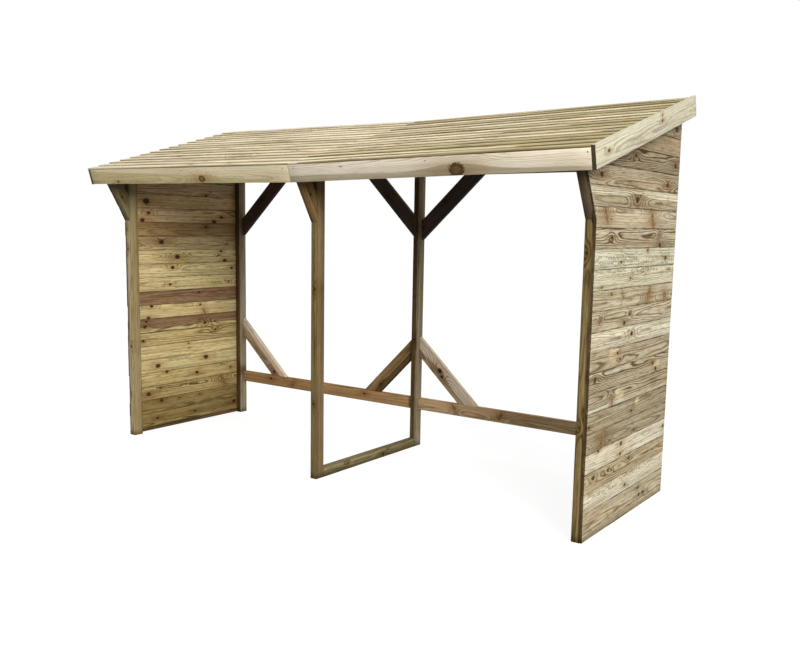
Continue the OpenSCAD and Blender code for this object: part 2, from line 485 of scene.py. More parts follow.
@dataclass(frozen=True)
class WoodFinish(Finish):
    """Treated softwood as one part of the store shows it."""

    ring_width: float = 0.0046
    ring_depth: float = 0.62
    streak_depth: float = 0.30
    dash_depth: float = 0.0
    band_depth: float = 0.0
    fibre_depth: float = 0.16
    blotch_depth: float = 0.22
    warmth: float = 0.45
    heart_waver: float = 0.034
    knot_level: float = 1.0
    saw_marks: float = 0.0
    # Darkening along the arrises: partly soiling, partly painted shade.
    arris_dirt: float = 0.6
    arris_reach: float = 0.0035
    # How dark the painted shade in the roof boards' laps is.
    grime: float = 0.95
    end_shade: float = 0.34
    foot_damp: float = 0.0
    roughness: float = 0.72
    relief: float = 0.0006

    def lay(self, tree: bpy.types.NodeTree) -> None:
        """Set out the finish's nodes.

        Args:
            tree: The material's tree.
        """
        bench = WoodBench(tree)
        knots = self.knots(bench)
        rings = self.rings(bench, knots)
        fibre = bench.noise(bench.spot, *FIBRE_NOISE)
        colour = self.colour(bench, knots, rings, fibre)
        colour = self.knot_colour(bench, knots, colour)
        colour = self.dirt(bench, colour)
        self.surface(bench, knots, colour, rings, fibre)

    def knots(self, bench: WoodBench) -> KnotField:
        """Work out how the knots bend the rings and where they show.

        Args:
            bench: Where the nodes are set out.

        Returns:
            What the knots do to the wood about them.
        """
        swells = []
        rounds = []
        spikes = []
        halos = []
        for number in range(MOST_KNOTS):
            knot = bench.attribute(f"knot_{number}", "Vector")
            along, across, _ = bench.split(bench.vector("SUBTRACT", bench.place, knot))
            _, _, size = bench.split(knot)
            radius = bench.math("ABSOLUTE", size)
            spike = bench.math("LESS_THAN", size, 0.0)
            slant = SPIKE_SLANT if number % 2 == 0 else -SPIKE_SLANT
            lean = bench.times(bench.times(across, spike), slant, along)
            run = bench.square(bench.times(lean, bench.times(spike, 1.0 - KNOT_LENGTH, KNOT_LENGTH)))
            rise = bench.square(bench.times(across, bench.times(spike, SPIKE_WIDTH - 1.0, 1.0)))
            share = bench.math("DIVIDE", bench.length(run, rise), radius)
            drawn = bench.math("DIVIDE", bench.times(run, HALO_LENGTH, rise), bench.square(radius))
            bell = bench.math("EXPONENT", bench.times(drawn, HALO_FALL))
            swells.append(bench.times(bell, radius))
            rounds.append(bench.times(spike, FAR_AWAY, share))
            spikes.append(bench.times(bench.minus(1.0, spike), FAR_AWAY, share))
            halos.append(bell)
        nearest_round = bench.total(tuple(rounds), "MINIMUM")
        nearest_spike = bench.total(tuple(spikes), "MINIMUM")
        nearest = bench.math("MINIMUM", nearest_round, nearest_spike)
        reach = bench.plus(nearest, bench.sway(Sway.KNOT_EDGE))
        return KnotField(
            swell=bench.plus(*swells),
            reach=reach,
            core=bench.ease(reach, *KNOT_CORE),
            halo=bench.total(tuple(halos), "MAXIMUM"),
            slim=bench.math("LESS_THAN", nearest_spike, nearest_round),
        )

    def rings(self, bench: WoodBench, knots: KnotField) -> Socket:
        """Cut the tree's rings where the timber's surface meets them.

        Args:
            bench: Where the nodes are set out.
            knots: The knots, which push the rings out.

        Returns:
            The dark late wood, from 0 to 1.
        """
        along, across, through = bench.split(bench.place)
        pith_across, pith_through, taper = bench.vectors("pith")
        figure, ripple, _ = bench.vectors("figure")
        curl = bench.times(bench.sway(Sway.RING_CURL), figure)
        wobble = bench.times(bench.sway(Sway.RING_ZIGZAG), ripple, curl)
        side = bench.plus(bench.minus(across, pith_across), bench.sway(Sway.RING_WANDER))
        depth = bench.minus(through, pith_through)
        radius = bench.length(bench.square(side), bench.square(depth))
        pushed = bench.plus(bench.times(along, taper, radius), wobble, knots.swell)
        share = bench.math("FRACT", bench.math("DIVIDE", pushed, self.ring_width))
        fade = bench.patches(bench.spot, Patch.RING_FADE, FADED_RINGS)
        return bench.times(bench.ramp(share, RING_STOPS), fade)

    def colour(self, bench: WoodBench, knots: KnotField, rings: Value, fibre: Value) -> Socket:
        """Colour the clear wood.

        Args:
            bench: Where the nodes are set out.
            knots: The knots, which push out the edge of the second tone.
            rings: The dark late wood.
            fibre: Fine noise along the grain.

        Returns:
            The colour of the first and second tones with their rings; the second tone is heartwood on most
            timbers and painted light and shade on some.
        """
        spot = bench.spot
        along, across, _ = bench.split(bench.place)
        # The second tone: heartwood on most timbers, painted light and shade on the posts' faces, the right
        # lower back rail and the right roof half.
        edge, climb, way = bench.vectors("heart_line")
        waver = bench.times(bench.sway(Sway.HEART_EDGE), self.heart_waver)
        line = bench.plus(bench.times(along, climb, edge), waver, knots.swell)
        inside = bench.times(bench.minus(line, across), way)
        heart = bench.ease(inside, -SECOND_TONE_BLUR, SECOND_TONE_BLUR)
        wood = bench.mix(heart, bench.attribute("tone", "Color"), bench.attribute("heart", "Color"))
        tint = bench.mix(bench.patches(spot, Patch.WARMTH), Stain.COOL.value, Stain.WARM.value)
        wood = bench.mix(self.warmth, wood, tint, "MULTIPLY")
        clear = self.clear_patch(bench)
        wood = bench.mix(clear, wood, Stain.CLEAR_WOOD.value)
        blotch = bench.patches(spot, Patch.BLOTCH, stop=self.blotch_depth)
        wood = bench.stain(wood, Stain.BLOTCH, blotch)
        streak = bench.math("MAXIMUM", bench.patches(spot, Patch.STREAK), bench.patches(spot, Patch.HAIR))
        wood = bench.stain(wood, Stain.STREAK, bench.times(streak, self.streak_depth))
        dash = bench.patches(spot, Patch.DASH, stop=self.dash_depth)
        band = bench.patches(spot, Patch.BAND, stop=self.band_depth)
        wood = bench.stain(wood, Stain.BAND, bench.math("MAXIMUM", dash, band))
        figure, _, _ = bench.vectors("figure")
        depth = bench.math("MULTIPLY", bench.times(rings, self.ring_depth), figure, clamp=True)
        bare = bench.times(clear, CLEAR_RINGS, 1.0)
        wood = bench.stain(wood, Stain.LATE_WOOD, bench.times(depth, bare))
        return bench.stain(wood, Stain.FIBRE, bench.times(fibre, self.fibre_depth))

    def clear_patch(self, bench: WoodBench) -> Socket:
        """Find the pale clear wood beside a knot.

        Args:
            bench: Where the nodes are set out.

        Returns:
            The patch, from 0 to 1.
        """
        centre = bench.attribute("pale", "Vector")
        along, across, _ = bench.split(bench.vector("SUBTRACT", bench.place, centre))
        _, _, radius = bench.split(centre)
        far = bench.length(bench.square(bench.times(along, CLEAR_LENGTH)), bench.square(across))
        share = bench.plus(bench.math("DIVIDE", far, radius), bench.sway(Sway.CLEAR_EDGE))
        return bench.ease(share, *CLEAR_FADE)

    def knot_colour(self, bench: WoodBench, knots: KnotField, wood: Value) -> Socket:
        """Lay the knots and the stained wood about them over the clear wood.

        Args:
            bench: Where the nodes are set out.
            knots: The knots.
            wood: The colour of the clear wood.

        Returns:
            The colour with its knots.
        """
        level = self.knot_level
        stained = bench.stain(wood, Stain.KNOT_HALO, bench.times(knots.halo, KNOT_STAIN))
        patch = bench.patches(bench.spot, Patch.KNOT)
        edge = bench.math("MAXIMUM", bench.times(patch, KNOT_PATCHES), bench.ease(knots.reach, *KNOT_EDGE))
        dead = bench.mix(edge, Stain.DEAD_KNOT.times(level), Stain.DEAD_KNOT_EDGE.times(level))
        _, _, tan = bench.vectors("figure")
        dead = bench.mix(tan, dead, Stain.TAN_KNOT.value)
        live = bench.mix(patch, Stain.LIVE_KNOT.value, Stain.LIVE_KNOT_PATCH.value)
        heart = bench.mix(knots.slim, dead, live)
        rim = bench.times(bench.ease(knots.reach, *BARK_RIM), bench.ease(tan, *TAN_START))
        barked = bench.mix(rim, heart, Stain.BARK.times(level))
        return bench.mix(bench.times(knots.core, KNOT_COVER), stained, barked)

    def dirt(self, bench: WoodBench, wood: Value) -> Socket:
        """Darken joints and arrises (partly soiling, partly painted shade), paint shade in the roof boards'
        laps, and darken the cut ends (darker end grain with painted shade) and the damp foot of the timber.

        Args:
            bench: Where the nodes are set out.
            wood: The colour so far.

        Returns:
            The colour with its soiling and painted shade.
        """
        # Darker along the arrises and the vee joints: partly soiling, partly painted shade; on the fascia it
        # also paints the shade along its lower edge.
        half_width, half_depth, _ = bench.vectors("form")
        _, across, through = bench.split(bench.place)
        side = bench.minus(half_width, bench.math("ABSOLUTE", across))
        face = bench.minus(half_depth, bench.math("ABSOLUTE", through))
        ragged = bench.sway(Sway.ARRIS)
        inward = bench.plus(side, face, ragged)
        near = bench.ease(inward, self.arris_reach * ARRIS_CORE, self.arris_reach, self.arris_dirt, 0.0)
        wood = bench.stain(wood, Stain.ARRIS, near)
        # Painted shade in the roof boards' laps and under their noses, uneven along their length.
        uneven = bench.patches(bench.spot, Patch.GRIME, self.grime * FAINTEST_LAP_SHADE, self.grime)
        wood = bench.stain(wood, Stain.GRIME, bench.times(bench.attribute("grime", "Fac"), uneven))
        # Darker cut end faces: the end grain's darker colour with painted shade.
        cut = bench.attribute("end_face", "Fac")
        wood = bench.mix(cut, wood, Stain.CUT_END.times(self.end_shade), "MULTIPLY")
        _, _, height = bench.split(bench.add("ShaderNodeTexCoord").outputs["Object"])
        damp = bench.ease(bench.times(ragged, DAMP_RAGGED, height), *DAMP_HEIGHT, self.foot_damp, 0.0)
        return bench.stain(wood, Stain.DAMP, damp)

    def surface(self, bench: WoodBench, knots: KnotField, colour: Value, rings: Value,
                fibre: Value) -> None:
        """Join colour, roughness and relief to the shader.

        Args:
            bench: Where the nodes are set out.
            knots: The knots, which stand proud and shine a little.
            colour: The finished colour.
            rings: The dark late wood, which stands proud.
            fibre: Fine noise along the grain.
        """
        along, across, _ = bench.split(bench.place)
        slant = bench.times(across, SAW_SLANT, along)
        drift = bench.times(bench.noise(bench.spot, *SAW_NOISE), SAW_DRIFT)
        sweep = bench.math("SINE", bench.times(bench.plus(slant, drift), SAW_PITCH))
        height = bench.times(rings, RING_RELIEF, bench.times(fibre, FIBRE_RELIEF))
        height = bench.times(sweep, self.saw_marks, height)
        height = bench.times(knots.core, KNOT_RELIEF, height)
        relief = {"Distance": self.relief, "Strength": RELIEF_STRENGTH, "Height": height}
        dull = bench.times(fibre, FIBRE_DULL, self.roughness)
        bench.show(bench.add("ShaderNodeBsdfPrincipled", {
            "Base Color": colour,
            "Roughness": bench.times(knots.core, KNOT_SHINE, dull),
            "Normal": bench.add("ShaderNodeBump", relief).outputs[0],
            "Specular IOR Level": WOOD_GLOSS,
        }))


@dataclass(frozen=True)
class NailFinish(Finish):
    """Bright-drawn steel nail heads, dulled by the weather where rust blooms on them."""

    roughness: float = 0.42
    rust_roughness: float = 0.35
    metal: float = 0.75
    rust_metal: float = -0.6

    def lay(self, tree: bpy.types.NodeTree) -> None:
        """Set out the finish's nodes.

        Args:
            tree: The material's tree.
        """
        bench = Bench(tree)
        bloom = bench.patches(bench.add("ShaderNodeTexCoord").outputs["Object"], Patch.NAIL_BLOOM)
        bench.show(bench.add("ShaderNodeBsdfPrincipled", {
            "Base Color": bench.mix(bloom, Stain.NAIL_STEEL.value, Stain.NAIL_RUST.value),
            "Roughness": bench.times(bloom, self.rust_roughness, self.roughness),
            "Metallic": bench.times(bloom, self.rust_metal, self.metal),
        }))


SAWN_FRAME = WoodFinish("sawn_frame_timber", ring_depth=0.72, streak_depth=0.62, fibre_depth=0.26,
                        dash_depth=0.30, blotch_depth=0.34, heart_waver=0.003, saw_marks=0.30,
                        arris_reach=0.004, foot_damp=0.7, roughness=0.78, relief=0.0009)
SAWN_BACK = replace(SAWN_FRAME, name="sawn_back_timber", ring_depth=0.60, streak_depth=0.44,
                    fibre_depth=0.24, dash_depth=0.25, heart_waver=0.012, foot_damp=0.0)
WALL_BOARD = WoodFinish("vee_jointed_wall_board", ring_depth=0.90, streak_depth=0.62, fibre_depth=0.22,
                        dash_depth=0.46, arris_dirt=0.95, arris_reach=0.0042, end_shade=0.20, foot_damp=0.75)
ROOF_BOARD = WoodFinish("feather_edged_roof_board", ring_depth=0.68, streak_depth=0.52, fibre_depth=0.05,
                        dash_depth=0.20, band_depth=0.52, blotch_depth=0.04, arris_dirt=0.0)
PLANED_FASCIA = WoodFinish("planed_fascia_board", ring_depth=0.48, streak_depth=0.22, fibre_depth=0.18,
                           dash_depth=0.14, blotch_depth=0.20, arris_dirt=0.5, arris_reach=0.005,
                           end_shade=0.14, warmth=0.2, heart_waver=0.016, knot_level=1.5)
PLANED_BARGE = WoodFinish("planed_barge_board", ring_depth=0.60, streak_depth=0.26, fibre_depth=0.18,
                          dash_depth=0.20, blotch_depth=0.20, arris_dirt=0.3, arris_reach=0.004,
                          end_shade=0.14, warmth=0.2, knot_level=2.0)
NAIL_STEEL = NailFinish("weathered_nail_steel")


class Bundle:
    """Lengths of timber gathered into one piece, each with its own look."""

    pith_aside: float = 0.9
    pith_depths: tuple[float, float] = (0.7, 1.4)
    tapers: tuple[float, float] = (0.004, 0.014)
    seed_reach: float = 40.0
    end_facing: float = 0.6
    sharp_angle: float = 38.0

    def __init__(self, name: str, finish: WoodFinish, slot: str) -> None:
        """Start an empty piece.

        Args:
            name: The piece's name.
            finish: The finish of all its timbers.
            slot: The record's slot that the finish belongs to.
        """
        self.name = name
        self.finish = finish
        self.slot = slot
        self.points: list[Vector] = []
        self.faces: list[list[int]] = []
        self.cut_faces: list[float] = []
        self.grime: list[float] = []
        self.vectors: dict[str, list[float]] = {}
        self.colours: dict[str, list[float]] = {}

    def add(self, shape: Shape, axes: Axes, look: Look, grime: tuple[float, ...] = (0.0,),
            back: Tone | None = None) -> None:
        """Take in one length of timber.

        Args:
            shape: Its mesh, which is freed.
            axes: The way that its grain runs.
            look: Its look.
            grime: How much painted shade lies on it at its points, in the roof boards' laps, repeated round
                and round.
            back: The tone of its back, if that differs from its face.
        """
        shape.normal_update()
        shape.verts.index_update()
        first = len(self.points)
        places = [axes.local(vertex.co) for vertex in shape.verts]
        rng = random.Random(f"{self.name} {first}")
        half_width = min(max(place.y for place in places), -min(place.y for place in places))
        half_depth = max(abs(place.z) for place in places)
        length = max(place.x for place in places)
        hand = rng.choice((-1.0, 1.0))
        pith = (rng.uniform(-self.pith_aside, self.pith_aside) * half_width,
                hand * look.pith_depth * rng.uniform(*self.pith_depths),
                rng.uniform(*self.tapers) * rng.choice((-1.0, 1.0)))
        seed = tuple(rng.uniform(-self.seed_reach, self.seed_reach) for _ in range(3))
        way = 1.0 if look.heart_below else -1.0
        same = {"seed": seed, "pith": pith, "form": (half_width, half_depth, length),
                "heart_line": (look.heart_edge, look.heart_climb, way),
                "figure": (look.figure, look.ripple, look.tan_knots), "pale": look.pale}
        for number in range(MOST_KNOTS):
            same[f"knot_{number}"] = look.knots[number] if number < len(look.knots) else NO_KNOT
        for number, (vertex, place) in enumerate(zip(shape.verts, places)):
            self.points.append(vertex.co.copy())
            self.grime.append(grime[number % len(grime)])
            self.vectors.setdefault("grain", []).extend(place)
            for key, value in same.items():
                self.vectors.setdefault(key, []).extend(value)
            tone = back if back is not None and place.z < 0.0 else look.tone
            self.colours.setdefault("tone", []).extend(tone.linear())
            self.colours.setdefault("heart", []).extend(look.heart.linear())
        for face in shape.faces:
            self.faces.append([first + vertex.index for vertex in face.verts])
            self.cut_faces.append(float(abs(face.normal.dot(axes.along)) > self.end_facing))
        shape.free()

    def piece(self, *nodes: str) -> bpy.types.Object:
        """Make the piece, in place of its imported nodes.

        Args:
            nodes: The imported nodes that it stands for.

        Returns:
            The piece, riding on its body.
        """
        mesh = bpy.data.meshes.new(self.name)
        mesh.from_pydata(self.points, [], self.faces)
        for name, values in self.vectors.items():
            mesh.attributes.new(name, "FLOAT_VECTOR", "POINT").data.foreach_set("vector", values)
        for name, values in self.colours.items():
            mesh.attributes.new(name, "FLOAT_COLOR", "POINT").data.foreach_set("color", values)
        mesh.attributes.new("grime", "FLOAT", "POINT").data.foreach_set("value", self.grime)
        mesh.attributes.new("end_face", "FLOAT", "FACE").data.foreach_set("value", self.cut_faces)
        mesh.polygons.foreach_set("use_smooth", [True] * len(mesh.polygons))
        mesh.set_sharp_from_angle(angle=math.radians(self.sharp_angle))
        mesh.materials.append(self.finish.material())
        return seat(bpy.data.objects.new(self.name, mesh), self.slot, *nodes)


def seat(piece: bpy.types.Object, slot: str, *nodes: str) -> bpy.types.Object:
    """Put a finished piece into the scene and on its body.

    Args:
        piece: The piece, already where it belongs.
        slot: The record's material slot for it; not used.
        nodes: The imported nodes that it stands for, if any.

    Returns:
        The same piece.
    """
    bpy.context.scene.collection.objects.link(piece)
    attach(piece, BODY)
    if nodes:
        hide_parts(*nodes)
    return piece


SAME_POINT = 1e-5
FLAT_ANGLE = math.radians(0.4)
ARRIS_ANGLE = math.radians(15.0)


def solid_of(node: str) -> Shape:
    """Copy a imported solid, with its flat faces whole.

    Args:
        node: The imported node's name.

    Returns:
        A new mesh to work on.
    """
    shape = bmesh.new()
    shape.from_mesh(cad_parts[node].data)
    bmesh.ops.remove_doubles(shape, verts=shape.verts, dist=SAME_POINT)
    bmesh.ops.dissolve_limit(shape, angle_limit=FLAT_ANGLE, verts=shape.verts, edges=shape.edges)
    shape.normal_update()
    return shape


def longest_run(shape: Shape) -> Vector:
    """The direction of a mesh's longest edge, towards its higher coordinates."""
    edge = max(shape.edges, key=lambda item: item.calc_length())
    run = (edge.verts[1].co - edge.verts[0].co).normalized()
    return -run if sum(run) < 0.0 else run


def ease_arrises(shape: Shape, width: float) -> None:
    """Round off every sharp edge of a timber.

    Args:
        shape: The timber's mesh.
        width: How far back the rounding starts.
    """
    sharp = [edge for edge in shape.edges if edge.is_manifold and edge.calc_face_angle() > ARRIS_ANGLE]
    bmesh.ops.bevel(shape, geom=sharp, offset=width, offset_type="OFFSET", segments=2, profile=0.5,
                    affect="EDGES", clamp_overlap=True)


def slice_along(shape: Shape, axes: Axes, step: float) -> None:
    """Add rings of points along a timber, so that it can be less than straight.

    Args:
        shape: The timber's mesh.
        axes: Its directions.
        step: The distance between rings.
    """
    places = [axes.local(vertex.co).x for vertex in shape.verts]
    start = min(places)
    length = max(places) - start
    count = int(length / step)
    for number in range(1, count):
        point = axes.world(Vector((start + length * number / count, 0.0, 0.0)))
        geometry = list(shape.verts) + list(shape.edges) + list(shape.faces)
        bmesh.ops.bisect_plane(shape, geom=geometry, plane_co=point, plane_no=axes.along, dist=SAME_POINT)


WAVES_ALONG = 3.0
WAVES_ACROSS = 9.0
SECOND_WAVE = Vector((17.0, 5.0, 11.0))


def weather(shape: Shape, axes: Axes, depth: float, shift: float) -> None:
    """Let a timber's faces swell and shrink a little along their length.

    Args:
        shape: The timber's mesh.
        axes: Its directions.
        depth: The most that a point moves.
        shift: A number that sets this timber apart from the others.
    """
    for vertex in shape.verts:
        place = axes.local(vertex.co)
        spot = Vector((place.x * WAVES_ALONG + shift, place.y * WAVES_ACROSS, place.z * WAVES_ACROSS + shift))
        across = noise.noise(spot)
        through = noise.noise(spot + SECOND_WAVE)
        vertex.co += (axes.across * across + axes.through * through) * depth


@dataclass
class FramedTimber:
    """One squared timber of the frame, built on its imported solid."""

    node: str
    look: Look
    through: Vector
    finish: WoodFinish
    slot: str
    eased: float = 0.0022
    ring_step: float = 0.09
    swell: float = 0.0005
    shift: float = 3.7

    def build(self) -> bpy.types.Object:
        """Ease, wave and dress the timber.

        Returns:
            The finished piece.
        """
        shape = solid_of(self.node)
        along = longest_run(shape)
        rough = Axes.square(ORIGIN, along, self.through)
        places = [rough.local(vertex.co) for vertex in shape.verts]
        start = Vector((min(p.x for p in places), mid(p.y for p in places), mid(p.z for p in places)))
        axes = Axes(rough.world(start), rough.along, rough.across, rough.through)
        ease_arrises(shape, self.eased)
        slice_along(shape, axes, self.ring_step)
        weather(shape, axes, self.swell, len(self.node) * self.shift)
        bundle = Bundle(f"{self.node}_timber", self.finish, self.slot)
        bundle.add(shape, axes, self.look)
        return bundle.piece(self.node)


def mid(values: Iterable[float]) -> float:
    """The middle between the lowest and the highest of some numbers."""
    numbers = list(values)
    return (min(numbers) + max(numbers)) / 2.0


@dataclass(frozen=True)
class VeeBoard:
    """The section of a tongued board with its arrises cut back to a vee."""

    thickness: float
    vee: float
    tongue: float = 0.0036
    tongue_reach: float = 0.0045
    slack: float = 0.0004

    def section(self, low: float, high: float, grooved: bool, tongued: bool,
                breaks: tuple[float, ...]) -> Outline:
        """Draw the board's section.

        Args:
            low: Its lower edge, across the board.
            high: Its upper edge.
            grooved: Whether its lower edge is grooved.
            tongued: Whether its upper edge has a tongue.
            breaks: Heights where its end changes direction, which get points of their own.

        Returns:
            Points across and through the board, in order round it.
        """
        half = self.thickness / 2.0
        flat = half - self.vee
        lip = self.tongue / 2.0
        base = low + self.slack
        points = [(base + self.vee, -half), (base, -flat)]
        if grooved:
            deep = base + self.tongue_reach + self.slack
            wide = lip + self.slack / 2.0
            points += [(base, -wide), (deep, -wide), (deep, wide), (base, wide)]
        points += [(base, flat), (base + self.vee, half)]
        inner = [height for height in sorted(breaks) if base + self.vee < height < high - self.vee]
        points += [(height, half) for height in inner]
        points += [(high - self.vee, half), (high, flat)]
        if tongued:
            points += [(high, lip), (high + self.tongue_reach, lip),
                       (high + self.tongue_reach, -lip), (high, -lip)]
        points += [(high, -flat), (high - self.vee, -half)]
        points += [(height, -half) for height in reversed(inner)]
        return points


def run_section(axes: Axes, section: Outline, start: Callable[[float], float],
                stop: Callable[[float], float], rings: int) -> Shape:
    """Run a section along a board.

    Args:
        axes: The board's directions.
        section: Points across and through it, in order round it.
        start: Where it starts at a place across it.
        stop: Where it stops at a place across it.
        rings: How many rings of points it has along its length.

    Returns:
        The board's mesh, its points ring by ring.
    """
    shape = bmesh.new()
    rows = []
    for ring in range(rings):
        share = ring / (rings - 1)
        row = []
        for across, through in section:
            along = start(across) * (1.0 - share) + stop(across) * share
            row.append(shape.verts.new(axes.world(Vector((along, across, through)))))
        rows.append(row)
    count = len(section)
    for near, far in zip(rows, rows[1:]):
        for place in range(count):
            after = (place + 1) % count
            shape.faces.new((near[place], near[after], far[after], far[place]))
    shape.faces.new(list(reversed(rows[0])))
    shape.faces.new(rows[-1])
    bmesh.ops.recalc_face_normals(shape, faces=shape.faces)
    return shape


@dataclass
class BoardedWall:
    """A boarded end of the store: level boards fixed to the outside of its posts."""

    side: Side
    looks: tuple[Look, ...]
    cover: float
    first_joint: float
    vee: float = 0.0026
    sliver: float = 0.004
    uneven: float = 0.005
    close: float = 0.0015
    least_vees: float = 4.0
    rings: int = 12
    swell: float = 0.0004
    shift: float = 5.3

    def outline(self) -> tuple[Outline, float]:
        """Read the end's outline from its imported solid.

        Returns:
            Its front and top edge as heights and depths from the foot up, and its back edge.
        """
        corners = [vertex.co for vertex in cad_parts[self.side.node("cladding")].data.vertices]
        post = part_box(self.side.node("front_post"))[0].y
        foot = min(point.z for point in corners)
        knee = max(point.z for point in corners if abs(point.y - post) < self.close)
        nose = min(corners, key=lambda point: point.y)
        peak = max(corners, key=lambda point: point.z)
        edge = [(foot, post), (knee, post), (nose.z, nose.y), (peak.z, peak.y)]
        return edge, max(point.y for point in corners)

    def build(self) -> Pieces:
        """Make the boards one above the other.

        The face that each board turns to the left takes the right end's tone, so both outsides match.

        Returns:
            The finished piece.
        """
        low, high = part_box(self.side.node("cladding"))
        edge, back = self.outline()
        post = edge[0][1]
        pattern = VeeBoard(high.x - low.x, self.vee)
        heights = [low.z]
        while heights[-1] < high.z:
            heights.append(self.first_joint + self.cover * (len(heights) - 1))
        bundle = Bundle(f"{self.side.name.lower()}_wall_boards", WALL_BOARD, "cladding")
        rng = random.Random(f"wall {self.side.name}")
        for number, (bottom, top) in enumerate(zip(heights, heights[1:])):
            whole = top < high.z - self.sliver
            top = min(top, high.z - self.sliver)
            if top - bottom < self.least_vees * self.vee:
                continue
            centre = (bottom + top) / 2.0
            axes = Axes(Vector((mid((low.x, high.x)), post, centre)), TO_BACK, UPWARD, ALONG_STORE)
            breaks = tuple(height - centre for height, _ in edge[1:3])
            section = pattern.section(bottom - centre, top - centre, number > 0, whole, breaks)
            short = rng.uniform(0.0, self.uneven)
            shape = run_section(axes, section, lambda across: front_at(edge, across + centre) - post + short,
                                lambda across: back - post, self.rings)
            weather(shape, axes, self.swell, number * self.shift)
            outside = RIGHT_WALL[number % len(RIGHT_WALL)].tone
            bundle.add(shape, axes, self.looks[number % len(self.looks)], back=outside)
        return [bundle.piece(self.side.node("cladding"))]


def front_at(edge: Outline, height: float) -> float:
    """Find how far forward a wall reaches at a height.

    Args:
        edge: Heights and depths of its front edge, from the foot up.
        height: The height to look at.

    Returns:
        The depth of the front edge there.
    """
    for (low, near), (high, far) in zip(edge, edge[1:]):
        if height <= high:
            share = (height - low) / (high - low)
            return near + (far - near) * share
    return edge[-1][1]


@dataclass(frozen=True)
class FeatherBoard:
    """A feather-edged roof board, thick along its lower edge, as it lies on the row below.

    The first row is bedded: it lies flat on the fascia and the rafters.
    """

    thick: float
    lift: float
    show: float
    wide: float
    bedded: bool = False
    eased: float = 0.0014
    turn: float = 0.3
    belly: float = 0.45
    shadow: float = 0.0085
    shadow_core: float = 0.2

    def top(self, across: float) -> float:
        """The height of its upper face over the rafters, at a distance from its lower edge."""
        return self.lift + self.thick * (1.0 - across / self.show)

    def under(self, across: float) -> float:
        """The height of its underside over the rafters, at a distance from its lower edge."""
        return 0.0 if self.bedded else self.lift * (1.0 - across / self.wide)

    def section(self, stop: float) -> list[tuple[float, float, float]]:
        """Draw the board's section.

        Args:
            stop: The distance from its lower edge to its upper edge.

        Returns:
            Points in order round it: across it, over the rafters, and the painted shade at each point,
                darkest
            on the underside by the nose, on the nose's lower half and on the strip of the upper face under
            the next row.
        """
        full = self.top(0.0)
        foot = self.under(0.0)
        soft = self.eased
        inner = self.turn * soft
        tuck = min(self.show, stop)
        clean = tuck - self.shadow
        dark = tuck - self.shadow_core * self.shadow
        middle = stop / 2.0
        return [
            (soft, self.under(soft), 1.0),
            (inner, foot + inner, 1.0),
            (0.0, foot + soft, 0.9),
            (0.0, foot + self.belly * (full - foot), 0.35),
            (0.0, full - soft, 0.0),
            (inner, full - inner, 0.0),
            (soft, self.top(soft), 0.0),
            (clean, self.top(clean), 0.0),
            (dark, self.top(dark), 0.9),
            (stop, self.top(stop), 1.0),
            (stop, self.under(stop), 0.5),
            (middle, self.under(middle), 0.1),
        ]


@dataclass
class RoofHalf:
    """One half of the roof: lapped boards that run along the store, row over row up the slope."""

    side: Side
    looks: tuple[Look, ...]
    close: float = 0.0005
    nose_grid: float = 0.01
    rings: int = 16
    swell: float = 0.0004
    shift: float = 4.1

    def build(self) -> Pieces:
        """Make the boards from the eaves up.

        Returns:
            The finished piece.
        """
        node = self.side.node("roof_boards")
        rafter = solid_of(self.side.node("rafter"))
        uphill = longest_run(rafter)
        rafter.free()
        solid = solid_of(node)
        run = longest_run(solid)
        rough = Axes.square(ORIGIN, run, run.cross(uphill))
        places = [rough.local(vertex.co) for vertex in solid.verts]
        solid.free()
        left = min(place.x for place in places)
        length = max(place.x for place in places) - left
        eaves = min(place.y for place in places)
        width = max(place.y for place in places) - eaves
        base = min(place.z for place in places)
        top = max(place.z for place in places)
        noses = {round((place.y - eaves) / self.nose_grid) for place in places if place.z > top - self.close}
        show = width / len(noses)
        lift = min(place.z for place in places if place.y < eaves + self.close) - base
        wide = min(place.y for place in places if place.z < base + self.close) - eaves
        board = FeatherBoard(top - base - lift, lift, show, wide)
        bundle = Bundle(f"{self.side.name.lower()}_roof_board_run", ROOF_BOARD, "roof_boards")
        for number in range(len(noses)):
            low = eaves + number * show
            start = rough.world(Vector((left, low + show / 2.0, base)))
            axes = Axes(start, rough.along, rough.across, rough.through)
            drawn = replace(board, bedded=number == 0).section(min(wide, eaves + width - low))
            section = [(across - show / 2.0, height) for across, height, _ in drawn]
            shape = run_section(axes, section, lambda across: 0.0, lambda across: length, self.rings)
            weather(shape, axes, self.swell, number * self.shift + self.side.value)
            # The painted shade at each point of the section.
            grime = tuple(shaded for _, _, shaded in drawn)
            bundle.add(shape, axes, self.looks[number % len(self.looks)], grime)
        return [bundle.piece(node)]


